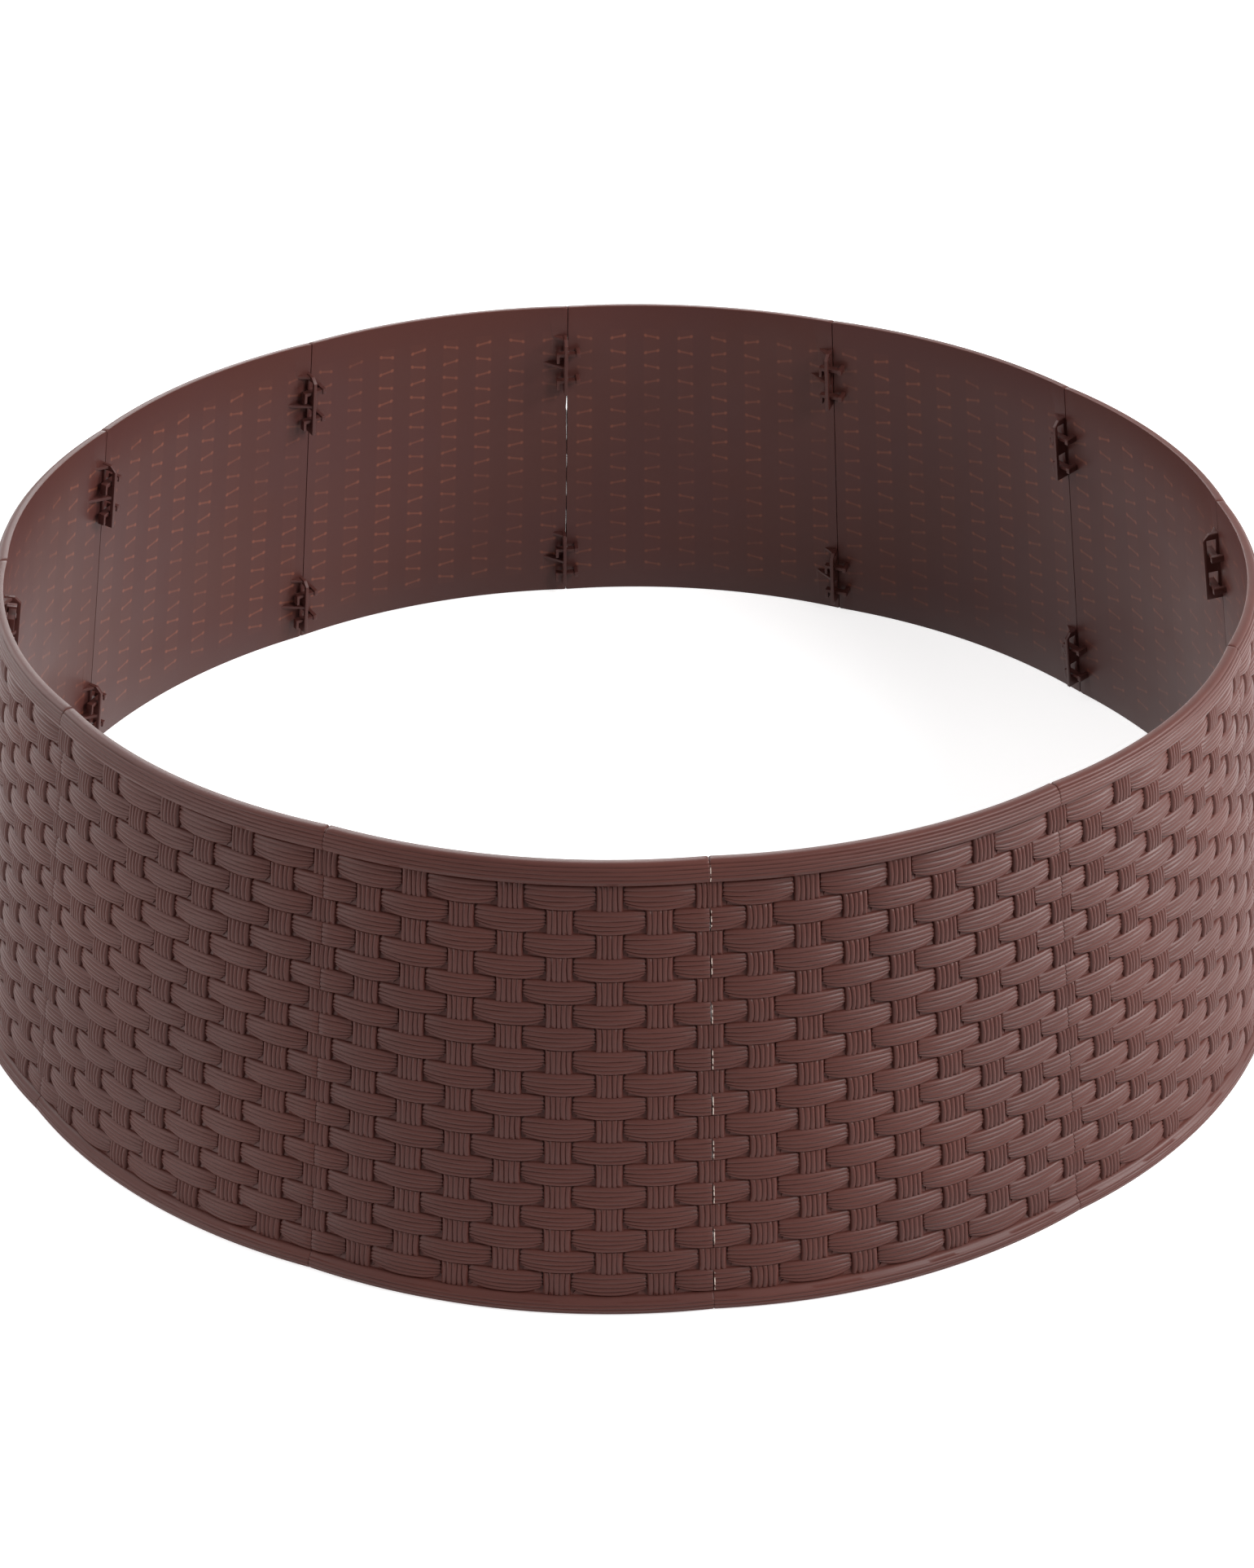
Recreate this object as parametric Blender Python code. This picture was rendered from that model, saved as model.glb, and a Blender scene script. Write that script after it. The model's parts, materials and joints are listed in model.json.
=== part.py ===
"""Christmas tree collar: twelve equal moulded panels that hook together into a tapered ring.

Each panel is one moulding: a curved wall that leans in towards the top, a coarse basket weave on its
face, a rounded rim along both edges, two keeper plates inside at its first end and two pairs of hooks
inside at its last end. The ring stands on the floor round the world origin. Seam 0 is at the front, on
-Y, and seams and panels count anticlockwise seen from above. All sizes are in metres.
"""

import math

import bmesh
import bpy
from mathutils import Matrix, Vector

# Ring: radii are to the outermost corner of the rims at a seam
PANEL_COUNT = 12
HEIGHT = 0.254
TOP_RADIUS = 0.382
BOTTOM_RADIUS = 0.428
SEAM_GAP = 0.0005
arc_radius_share = 0.863

# Wall, rims and weave, measured outwards from the smooth inner face
WALL = 0.003
TOP_RIM_HEIGHT = 0.013
BOTTOM_RIM_HEIGHT = 0.0105
RIM_PROUD = 0.005
RIM_STEPS = 6
WEAVE_GROOVE = 0.0032
WEAVE_LOW = 0.0042
WEAVE_HIGH = 0.0062
STAKE_PITCHES = 8
WEAVER_ROWS = 18

# Clip stations: the upper plate hangs below the top edge, the lower one stands above the bottom edge
UPPER_CLIP_INSET = 0.023
LOWER_CLIP_INSET = 0.010
EMBED = 0.001
OVERRUN = 0.0004

# Keeper plate, measured inwards from the wall, downwards from its top and sideways from the seam
PLATE_DEPTH = 0.010
PLATE_THICKNESS = 0.0025
PLATE_SETBACK = 0.0003
PLATE_CHAMFER = 0.004
TOP_GUSSET_LENGTH = 0.010
MIDDLE_GUSSET_LENGTH = 0.017
MIDDLE_GUSSET_DROP = 0.0225
GUSSET_THICKNESS = 0.002
GUSSET_SHORTFALL = 0.001

# Windows of a keeper plate, and the hooks that drop over their sills
SILL_DROPS = (0.015, 0.038)
SILL_BRIDGE = 0.0025
WINDOW_HEIGHT = 0.011
WINDOW_FROM_WALL = 0.00175
PLATE_STRIP = 0.00225
SILL_CLEARANCE = 0.0003
ARM_WIDTH_CLEARANCE = 0.00075
ARM_THICKNESS = 0.0025
TONGUE_DROP = 0.0055
TONGUE_THICKNESS = 0.0022
TONGUE_PLAY = 0.0033
PULL_CLEARANCE = 0.0005
ROOT_FROM_SEAM = 0.0060
ROOT_LENGTH = 0.003
ROOT_LIP = 0.0008

PLASTIC_COLOUR = (0.117, 0.060, 0.052, 1.0)
PLASTIC_ROUGHNESS = 0.45
PLASTIC_IOR = 1.49

PANEL_ANGLE = 2 * math.pi / PANEL_COUNT
HALF_ANGLE = PANEL_ANGLE / 2
RIM_THICKNESS = WALL + RIM_PROUD
PLATE_HEIGHT = max(SILL_DROPS) + TONGUE_DROP + PULL_CLEARANCE + SILL_BRIDGE
WINDOW_DEPTH = PLATE_DEPTH - WINDOW_FROM_WALL - PLATE_STRIP
BACK_SEAM = PANEL_COUNT // 2
LEAN = math.atan2(BOTTOM_RADIUS - TOP_RADIUS, HEIGHT)


def clear_scene():
    """Remove every object of the open file."""
    for item in list(bpy.data.objects):
        bpy.data.objects.remove(item, do_unlink=True)


def corner_radius(z):
    """Distance from the ring's axis to the rims' outermost corner at a seam, at height z."""
    return BOTTOM_RADIUS + (TOP_RADIUS - BOTTOM_RADIUS) * z / HEIGHT


def wall_point(share, offset, z):
    """A point of the first panel: share runs from 0 to 1 between its ends, offset from the inner face.

    The panel's level sections are arcs that are tighter than the ring itself, and its ends are cut
    parallel to the seams' radial planes, half a seam gap away from them.
    """
    corner = corner_radius(z)
    outer_arc = arc_radius_share * corner
    centre = corner * math.cos(HALF_ANGLE) - math.sqrt(outer_arc**2 - (corner * math.sin(HALF_ANGLE))**2)
    radius = outer_arc - RIM_THICKNESS + offset
    end = HALF_ANGLE + math.asin((centre * math.sin(HALF_ANGLE) - SEAM_GAP / 2) / radius)
    turn = end * (2 * share - 1)
    outward = centre + radius * math.cos(turn)
    along = radius * math.sin(turn)
    middle_out = Vector((math.sin(HALF_ANGLE), -math.cos(HALF_ANGLE), 0))
    middle_along = Vector((math.cos(HALF_ANGLE), math.sin(HALF_ANGLE), 0))
    return middle_out * outward + middle_along * along + Vector((0, 0, z))


def rim_curve(bottom, height):
    """Offsets and heights of one rim's rounded face, from its lower to its upper edge."""
    points = []
    for step in range(RIM_STEPS + 1):
        turn = math.pi * (step / RIM_STEPS - 0.5)
        offset = WALL + RIM_PROUD * math.cos(turn)
        points.append((offset, bottom + height / 2 * (1 + math.sin(turn))))
    return points


def weave_offset(row, column):
    """A weaver stands proud where it passes over a stake, and the stake shows where it passes behind.

    Rows count from the top, and in the first row the stakes show at both seams.
    """
    return WEAVE_LOW if (row + column) % 2 else WEAVE_HIGH


def wall_outline(column):
    """The closed outline of the panel's section at a stake line, as offsets and heights."""
    row_pitch = (HEIGHT - TOP_RIM_HEIGHT - BOTTOM_RIM_HEIGHT) / WEAVER_ROWS
    outline = [(0, 0)]
    outline += rim_curve(0, BOTTOM_RIM_HEIGHT)
    for level in range(WEAVER_ROWS):
        row = WEAVER_ROWS - level
        bottom = BOTTOM_RIM_HEIGHT + row_pitch * level
        if level:
            outline.append((WEAVE_GROOVE, bottom))
        outline.append((weave_offset(row, column), bottom + row_pitch / 2))
    outline += rim_curve(HEIGHT - TOP_RIM_HEIGHT, TOP_RIM_HEIGHT)
    outline.append((0, HEIGHT))
    return outline


def add_facet(mesh, low_near, low_far, high_far, high_near, proud):
    """Add one cell of the wall.

    In the weave a cell is folded through its proud corner: proud says whether that corner is one of
    low_near and high_far, or else one of the other two.
    """
    if proud is None:
        mesh.faces.new((low_near, low_far, high_far, high_near))
    elif proud:
        mesh.faces.new((low_near, low_far, high_far))
        mesh.faces.new((low_near, high_far, high_near))
    else:
        mesh.faces.new((low_near, low_far, high_near))
        mesh.faces.new((low_far, high_far, high_near))


def make_wall():
    """The panel's wall with its rims and weave, as one closed mesh."""
    mesh = bmesh.new()
    outlines = [wall_outline(column) for column in range(STAKE_PITCHES + 1)]
    loops = []
    for column, outline in enumerate(outlines):
        share = column / STAKE_PITCHES
        loops.append([mesh.verts.new(wall_point(share, offset, z)) for offset, z in outline])
    count = len(outlines[0])
    last_of_rim = RIM_STEPS + 1
    weave = range(last_of_rim, last_of_rim + 2 * WEAVER_ROWS)
    for column, (near, far) in enumerate(zip(loops, loops[1:])):
        for level in range(count):
            above = (level + 1) % count
            offsets = (outlines[column][level][0], outlines[column + 1][above][0])
            proud = WEAVE_HIGH in offsets if level in weave else None
            add_facet(mesh, near[level], far[level], far[above], near[above], proud)
    mesh.faces.new(list(reversed(loops[0])))
    mesh.faces.new(loops[-1])
    return finish_mesh(mesh, "panel_wall")


def finish_mesh(mesh, name):
    """Turn all faces outwards and hand the shape over as a mesh."""
    bmesh.ops.recalc_face_normals(mesh, faces=mesh.faces)
    data = bpy.data.meshes.new(name)
    mesh.to_mesh(data)
    mesh.free()
    return data


def clip_frame(seam_angle, top):
    """Axes of a clip at a seam: X along the wall, Y inwards from the wall, Z up the leaning wall."""
    outward = Vector((math.sin(seam_angle), -math.cos(seam_angle), 0))
    along = Vector((math.cos(seam_angle), math.sin(seam_angle), 0))
    up_wall = Vector((0, 0, math.cos(LEAN))) - outward * math.sin(LEAN)
    inward = up_wall.cross(along)
    origin = outward * (corner_radius(top) - RIM_THICKNESS) + Vector((0, 0, top))
    turn = Matrix((along, inward, up_wall)).transposed().to_4x4()
    return Matrix.Translation(origin) @ turn


def clip_tops():
    """Heights of the upper edge of the upper and the lower keeper plate."""
    return HEIGHT - UPPER_CLIP_INSET, LOWER_CLIP_INSET + PLATE_HEIGHT * math.cos(LEAN)


def add_prism(mesh, frame, outline, depth):
    """Add a closed prism: a flat outline in the clip's own axes, drawn out along the vector depth."""
    near = [mesh.verts.new(frame @ Vector(point)) for point in outline]
    far = [mesh.verts.new(frame @ (Vector(point) + Vector(depth))) for point in outline]
    sides = [mesh.faces.new(list(reversed(near))), mesh.faces.new(far)]
    for place, corner in enumerate(near):
        following = (place + 1) % len(near)
        sides.append(mesh.faces.new((corner, near[following], far[following], far[place])))
    bmesh.ops.recalc_face_normals(mesh, faces=sides)


def add_block(mesh, frame, low, high):
    """Add a closed box between two corners in the clip's own axes."""
    outline = [
        (low[0], low[1], low[2]),
        (high[0], low[1], low[2]),
        (high[0], high[1], low[2]),
        (low[0], high[1], low[2]),
    ]
    add_prism(mesh, frame, outline, (0, 0, high[2] - low[2]))


def plate_near():
    """Distance from the seam to the keeper plate's nearer face."""
    return SEAM_GAP / 2 + PLATE_SETBACK


def plate_far():
    """Distance from the seam to the keeper plate's farther face."""
    return plate_near() + PLATE_THICKNESS


def add_keeper(mesh, frame):
    """A keeper plate that stands inwards from the wall, with the two gussets behind it."""
    near = plate_near()
    plate = [
        (near, -EMBED, 0),
        (near, PLATE_DEPTH - PLATE_CHAMFER, 0),
        (near, PLATE_DEPTH, -PLATE_CHAMFER),
        (near, PLATE_DEPTH, -PLATE_HEIGHT),
        (near, -EMBED, -PLATE_HEIGHT),
    ]
    add_prism(mesh, frame, plate, (PLATE_THICKNESS, 0, 0))
    root = plate_far() - EMBED
    gussets = (
        (TOP_GUSSET_LENGTH, PLATE_DEPTH - PLATE_CHAMFER - GUSSET_SHORTFALL, GUSSET_SHORTFALL / 2),
        (MIDDLE_GUSSET_LENGTH, PLATE_DEPTH - GUSSET_SHORTFALL, MIDDLE_GUSSET_DROP),
    )
    for length, reach, drop in gussets:
        web = [
            (root, -EMBED, -drop),
            (root + length, -EMBED, -drop),
            (root, reach, -drop),
        ]
        add_prism(mesh, frame, web, (0, 0, -GUSSET_THICKNESS))


def add_windows(mesh, frame, room_below):
    """Cutters for a keeper plate's two windows, each reaching room_below under its sill."""
    for sill in SILL_DROPS:
        low = (plate_near() - OVERRUN, WINDOW_FROM_WALL, -sill - room_below)
        high = (plate_far() + OVERRUN, WINDOW_FROM_WALL + WINDOW_DEPTH, WINDOW_HEIGHT - sill)
        add_block(mesh, frame, low, high)


def add_hooks(mesh, frame):
    """The two hooks that reach across the seam, through the windows, and drop behind the plate."""
    wall_side = WINDOW_FROM_WALL + ARM_WIDTH_CLEARANCE
    room_side = WINDOW_FROM_WALL + WINDOW_DEPTH - ARM_WIDTH_CLEARANCE
    tongue_near = plate_far() + TONGUE_PLAY
    tongue_far = tongue_near + TONGUE_THICKNESS
    for sill in SILL_DROPS:
        under = SILL_CLEARANCE - sill
        over = under + ARM_THICKNESS
        arm = [
            (-ROOT_FROM_SEAM - ROOT_LENGTH / 2, wall_side, over),
            (tongue_far, wall_side, over),
            (tongue_far, wall_side, under - TONGUE_DROP),
            (tongue_near, wall_side, under - TONGUE_DROP),
            (tongue_near, wall_side, under),
            (-ROOT_FROM_SEAM - ROOT_LENGTH / 2, wall_side, under),
        ]
        add_prism(mesh, frame, arm, (0, room_side - wall_side, 0))
        low = (-ROOT_FROM_SEAM - ROOT_LENGTH, -EMBED, under - ROOT_LIP)
        high = (-ROOT_FROM_SEAM, room_side + ROOT_LIP, over + ROOT_LIP)
        add_block(mesh, frame, low, high)


def make_fittings():
    """All keeper plates, gussets and hooks of the first panel."""
    mesh = bmesh.new()
    for top in clip_tops():
        add_keeper(mesh, clip_frame(0, top))
        add_hooks(mesh, clip_frame(PANEL_ANGLE, top))
    return finish_mesh(mesh, "panel_fittings")


def make_windows(room_below):
    """The cutters of all windows of the first panel."""
    mesh = bmesh.new()
    for top in clip_tops():
        add_windows(mesh, clip_frame(0, top), room_below)
    return finish_mesh(mesh, "panel_windows")


def place(name, data, parent=None):
    """Put an object, or an empty where data is None, into the scene."""
    item = bpy.data.objects.new(name, data)
    item.parent = parent
    bpy.context.scene.collection.objects.link(item)
    return item


def combine(body, tool, operation):
    """Add an exact Boolean of a tool object to a body object."""
    step = body.modifiers.new(operation.lower(), "BOOLEAN")
    step.operation = operation
    step.object = tool
    step.solver = "EXACT"
    step.use_self = True


def mould_panel(name, room_below, material):
    """One panel's finished mesh: the wall with its fittings fused on and the windows cut through."""
    blank = place(name, make_wall())
    fittings = place(name + "_fittings", make_fittings())
    windows = place(name + "_windows", make_windows(room_below))
    combine(blank, fittings, "UNION")
    combine(blank, windows, "DIFFERENCE")
    depsgraph = bpy.context.evaluated_depsgraph_get()
    data = bpy.data.meshes.new_from_object(blank.evaluated_get(depsgraph))
    data.name = name
    data.materials.clear()
    data.materials.append(material)
    for item in (blank, fittings, windows):
        bpy.data.objects.remove(item, do_unlink=True)
    return data


def make_plastic():
    """The satin brown plastic that every panel is moulded in."""
    material = bpy.data.materials.new("brown_plastic")
    material.use_nodes = True
    shader = material.node_tree.nodes["Principled BSDF"]
    shader.inputs["Base Color"].default_value = PLASTIC_COLOUR
    shader.inputs["Roughness"].default_value = PLASTIC_ROUGHNESS
    shader.inputs["Metallic"].default_value = 0
    shader.inputs["IOR"].default_value = PLASTIC_IOR
    return material


def seam_place(seam):
    """The foot of a seam's upright hinge axis, at the ring's outermost corner."""
    angle = seam * PANEL_ANGLE
    return Vector((math.sin(angle), -math.cos(angle), 0)) * BOTTOM_RADIUS


def place_hinges():
    """An empty on each seam's hinge axis, chained both ways from the panel before the back seam.

    Seam 0 is where the ring opens, so it has no hinge. Turning the empties of seams 1 to 5 forwards
    and the others backwards, all by the same angle, opens the ring at the front.
    """
    hinges = {}
    towards_front = range(BACK_SEAM - 1, 0, -1)
    towards_back = range(BACK_SEAM, PANEL_COUNT)
    for chain in (towards_front, towards_back):
        carrier, carrier_place = None, Vector()
        for seam in chain:
            hinge = place(f"hinge_{seam:02d}", None, carrier)
            hinge.location = seam_place(seam) - carrier_place
            hinges[seam] = hinge
            carrier, carrier_place = hinge, seam_place(seam)
    return hinges


def place_panels(hinges, standard, opening):
    """All panels of the ring, each parented to the hinge that swings it."""
    for number in range(1, PANEL_COUNT + 1):
        data = opening if number == 1 else standard
        seam = number if number < BACK_SEAM else number - 1
        carried = number != BACK_SEAM
        panel = place(f"panel_{number:02d}", data, hinges[seam] if carried else None)
        panel.rotation_euler.z = (number - 1) * PANEL_ANGLE
        panel.location = -seam_place(seam) if carried else Vector()


def build():
    """Make the whole collar. Only panel 1, beside the opening seam, has windows cut down far enough
    for the hooks to pull straight out."""
    clear_scene()
    plastic = make_plastic()
    standard = mould_panel("panel", 0, plastic)
    opening = mould_panel("panel_at_opening", TONGUE_DROP + PULL_CLEARANCE, plastic)
    place_panels(place_hinges(), standard, opening)


build()
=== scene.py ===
"""Christmas tree collar: twelve basket-weave panels hooked into a tapered ring, on a plain studio floor.

Every panel is one moulding. Its outer face is a height field over the unrolled wall: weavers pass over
and behind upright stakes, with reeds along both, deep recesses where they cross, and a reeded rim along
the top and the bottom. Inside, the wall is smooth and carries keeper plates and hooks. Sizes are in
metres. Seam 0 is at the front, on -Y, and panels count anticlockwise seen from above.
"""

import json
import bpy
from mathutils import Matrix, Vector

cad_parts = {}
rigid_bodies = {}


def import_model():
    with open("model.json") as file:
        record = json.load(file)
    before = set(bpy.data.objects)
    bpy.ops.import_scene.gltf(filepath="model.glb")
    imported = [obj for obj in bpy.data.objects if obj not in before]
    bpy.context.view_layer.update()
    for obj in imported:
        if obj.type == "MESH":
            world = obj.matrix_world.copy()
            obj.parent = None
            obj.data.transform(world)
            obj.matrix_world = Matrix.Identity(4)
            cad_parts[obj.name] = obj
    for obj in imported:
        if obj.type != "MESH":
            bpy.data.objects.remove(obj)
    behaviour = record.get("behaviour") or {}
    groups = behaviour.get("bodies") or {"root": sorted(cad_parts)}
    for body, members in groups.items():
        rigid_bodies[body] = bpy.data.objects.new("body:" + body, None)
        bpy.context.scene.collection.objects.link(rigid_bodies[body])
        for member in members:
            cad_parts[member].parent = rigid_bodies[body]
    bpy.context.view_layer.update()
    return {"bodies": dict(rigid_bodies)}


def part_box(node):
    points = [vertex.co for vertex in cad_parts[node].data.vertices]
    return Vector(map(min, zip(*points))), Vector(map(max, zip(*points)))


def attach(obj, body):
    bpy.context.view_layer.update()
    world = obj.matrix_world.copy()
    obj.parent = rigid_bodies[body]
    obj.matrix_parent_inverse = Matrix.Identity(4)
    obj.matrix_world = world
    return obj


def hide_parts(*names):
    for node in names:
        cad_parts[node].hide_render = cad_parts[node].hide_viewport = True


bl_info = {
    "name": "Woven tree collar",
    "version": (1, 0, 0),
    "blender": (4, 5, 0),
    "location": "View3D > Sidebar > Collar",
    "description": "Moulds the panels of a basket-weave tree collar and sets a plain studio stage",
    "category": "Object",
}

from collections import namedtuple
from math import atan2, cos, inf, pi, radians, sin, sqrt

import bmesh
import bpy
import numpy as np
from bpy.props import FloatProperty, FloatVectorProperty, PointerProperty
from bpy.types import Operator, Panel, PropertyGroup
from mathutils import Matrix, Vector

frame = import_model()

# Ring, as the panels' solids have it; the loose panel is behind
PANEL_COUNT = len(frame["bodies"])
LOOSE_PANEL = PANEL_COUNT // 2 + 1
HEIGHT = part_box("panel_01")[1].z
TOP_RADIUS = 0.382
BOTTOM_RADIUS = 0.428
ARC_SHARE = 0.863
WALL = 0.003
TOP_RIM_HEIGHT = 0.013
BOTTOM_RIM_HEIGHT = 0.0105
RIM_PROUD = 0.005
STAKE_PITCHES = 8
WEAVER_ROWS = 18
ROW = (HEIGHT - TOP_RIM_HEIGHT - BOTTOM_RIM_HEIGHT) / WEAVER_ROWS
PITCH = 0.0265
PANEL_ANGLE = 2 * pi / PANEL_COUNT
HALF_ANGLE = PANEL_ANGLE / 2
RIM_THICKNESS = WALL + RIM_PROUD
LEAN = atan2(BOTTOM_RADIUS - TOP_RADIUS, HEIGHT)

# Places along the face in stake pitches, counted from the stake that a weaver passes over
STAKE_HALF = 0.265
BAY_START = 0.268
OVER_COLUMNS = (-BAY_START, -0.14, 0.0, 0.14, BAY_START)
WEAVER_END = 0.722
END_CORNER = 0.05
END_REED = 0.012
END_STEP = 0.004
SEAM_COLUMN_MARGIN = 0.05
BAY_SHARES = (0.0, 0.2, 0.4, 0.6, 0.78, 0.92, 1.0)
END_ROUND_SHARES = (0.0, 0.07, 0.3, 1.0)
STAKE_LEVELS = (1.0, 0.6, 0.0, -0.6, -1.0)

# Small steps in metres, and the steps per metre at which points weld
GROOVE_STEP = 0.00005
FIRST_ROW_STRETCH = 0.0008
WELD_STEPS = 1e7

# Curves of the relief: a weaver's end loses more of its lower corner than of its upper one
END_SKEW = 0.7
END_TAPER = 3
DIVE_CURVE = 2.2
CROWN_EDGE = 0.06
STAKE_MARGIN = 0.012
GAP_RAMP = 10
ROW_MARGIN = 0.001

# Drift of the reeds: waves per place, line and row, and how uneven the grooves' depth is
SLOW_WAVE = (2.9, 1.7, 2.3)
QUICK_WAVE = (7.1, -2.6, 1.1)
QUICK_SHARE = 0.7
WEAVER_UNEVEN = 0.3
STAKE_UNEVEN = 0.2
RIM_UNEVEN = 0.2
DEPTH_LINE = 0.4
DEPTH_ROW = 5
RIM_DEPTH_ROW = 3
RIM_DRIFT_SCALES = (1.3, 0.35)

# Reeds: places and heights across one reed, as shares; FLAT is the place of a surface without reeds
FACE_REEDS = 5
REED_PROFILE = ((0.0, 0.0), (0.24, 0.8), (0.5, 1.0), (0.76, 0.8))
FLAT = 0.5
SEAM_REED_MARGIN = 0.2

# Section of a rim: offsets are from the panel's inner face, fullness is a rounding exponent
RimSection = namedtuple("RimSection", "height undercut floor foot proud ledge swell foot_fullness "
                                      "edge_fullness plain reeds lip")
TOP_SECTION = RimSection(height=TOP_RIM_HEIGHT - FIRST_ROW_STRETCH, undercut=0.0004, floor=0.0014,
                         foot=0.0041, proud=0.0078, ledge=0.0033, swell=0.30, foot_fullness=1.7,
                         edge_fullness=2.3, plain=0.0042, reeds=4, lip=0.0008)
BOTTOM_SECTION = RimSection(height=BOTTOM_RIM_HEIGHT, undercut=0.0001, floor=0.0030, foot=0.0034,
                            proud=0.0076, ledge=0.003, swell=0.42, foot_fullness=1.7, edge_fullness=2.3,
                            plain=0.0038, reeds=3, lip=0.0005)
SECTION_SAMPLES = 241
RIM_COLUMNS = (0.0, 0.14, 0.265, 0.285, 0.42, 0.58, 0.715, 0.735, 0.86)
UNDERCUT_SHARES = (0.4, 0.9)
PLAIN_SHARES = (0.0, 0.33, 0.67)
RUN_OUT = 0.25
RUN_OUT_SHARE = 0.85
EDGE_SHARES = (0.35, 0.6, 0.85, 1.0)
LIP_SHARES = ((1.0, 0.0), (0.3, 0.3), (0.0, 1.0))
INNER_STEPS = 6

# Clips, as the panels' solids have them
UPPER_CLIP_INSET = 0.023
LOWER_CLIP_INSET = 0.010
EMBED = 0.001
OVERRUN = 0.0004
PLATE_HEIGHT = 0.0465
PLATE_DEPTH = 0.010
PLATE_THICKNESS = 0.0025
PLATE_NEAR = 0.00055
PLATE_CHAMFER = 0.004
TOP_GUSSET_LENGTH = 0.010
MIDDLE_GUSSET_LENGTH = 0.017
MIDDLE_GUSSET_DROP = 0.0225
GUSSET_THICKNESS = 0.002
GUSSET_SHORTFALL = 0.001
SILL_DROPS = (0.015, 0.038)
WINDOW_HEIGHT = 0.011
WINDOW_DEPTH = 0.006
WINDOW_FROM_WALL = 0.00175
SILL_CLEARANCE = 0.0003
ARM_WIDTH_CLEARANCE = 0.00075
ARM_THICKNESS = 0.0025
TONGUE_DROP = 0.0055
TONGUE_THICKNESS = 0.0022
TONGUE_PLAY = 0.0033
PULL_CLEARANCE = 0.0005
ROOT_FROM_SEAM = 0.0060
ROOT_LENGTH = 0.003
ROOT_LIP = 0.0008

# Degrees from which a clip's edge is rounded, and from which an edge is shaded sharp
EDGE_ANGLE = 30
SHARP_ANGLE = 50

# Painted light through the thin spots of the wall, across in bays and up in rows; pairs are where a fade
# starts and ends
DASH_SLANT = 0.41
DASH_RISE = (0.11, 0.02)
DASH_REACH = (0.22, 0.17)
DASH_SHARE = 0.6
DOT_REACH = 0.18
DOT_STRETCH = 2.1
DOT_SIZE = (0.16, 0.04)
DOT_SHARE = 0.95
BAND_REACH = (0.27, 0.20)
BAND_SHARE = 0.05
LIGHT_THROUGH_FROM = (0.5, 0.51)

# Painted light along the opening seam's edge, a pale broken line: across in pitches, up as the sine over a
# row
SEAM_LIGHT_WIDTH = (0.024, 0.014)
ON_WALL = (-0.5, -0.4)
SEAM_LIGHT_ROWS = (0.15, 0.5)
SEAM_LIGHT_BREAKS = (0.36, 0.52)

# Noises of the finish as scale, detail and roughness
DRIFT_NOISE = (9.0, 3.0, 0.5)
SPECK_NOISE = (900.0, 2.0, 0.6)
GRAIN_NOISE = (1400.0, 3.0, 0.6)
FADE_NOISE = (14.0, 2.0, 0.5)
FIBRE_NOISE = (2.2, 3.0, 0.6)
SMUDGE_NOISE = (22.0, 4.0, 0.5)
# Breaks in the painted light along the opening seam
SEAM_LIGHT_NOISE = (420.0, 1.0, 0.5)

# Shares, fades and index of the finish
DRIFT_STEP = (0.35, 0.65)
SPECK_SHARE = 0.12
# Fade of the painted light through the thin spots
FADE_STEP = (0.32, 0.6)
FADE_SHARE = 0.6
# Painted shade in the reeds' grooves: width across a groove, share, and how far from the middle of a face
# it reaches
GROOVE_SHADE_WIDTH = (0.18, 0.0)
GROOVE_SHADE_SHARE = 0.3
OUTER_REEDS = (2.4, 2.2)
STREAKS_PER_REED = 3.0
STREAK_STEP = (0.35, 0.75)
STREAK_SHARE = 0.12
SMUDGE_RANGE = 0.16
PLASTIC_IOR = 1.49

# Soft lights: the stage setting with their power, then their size and place
LAMPS = {
    "key": (0.7, (1.9, -0.2, 1.3)),
    "front": (0.7, (1.4, -1.2, 1.5)),
    "rear_left": (1.6, (-1.5, 1.2, 1.3)),
    "rear": (1.2, (0.0, 2.3, 1.15)),
    "left": (1.5, (-1.9, -0.5, 1.0)),
    "low_left": (0.9, (-2.1, -0.9, 0.5)),
}
LIT_POINT = (0.0, 0.0, 0.12)
CAMERA_PLACE = (-0.1697, -1.5147, 0.9902)
CAMERA_DEGREES = (58.912, -0.027, -6.433)
FLOOR_HALF = 6.0
FLOOR_DROP = 0.0005
FLOOR_ROUGHNESS = 0.9
FLOOR_SPECULAR = 0.1

REED_MAP = "reeds"
WALL_MAP = "wall"


def maker(kind, **fixed):
    """A function that makes settings of one kind from a name, a description and a default."""
    def make(name, description, default):
        return kind(name=name, description=description, default=default, **fixed)
    return make


amount = maker(FloatProperty)
factor = maker(FloatProperty, subtype="FACTOR")
metres = maker(FloatProperty, unit="LENGTH")
watts = maker(FloatProperty, unit="POWER")
tint = maker(FloatVectorProperty, subtype="COLOR", size=3)


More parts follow.
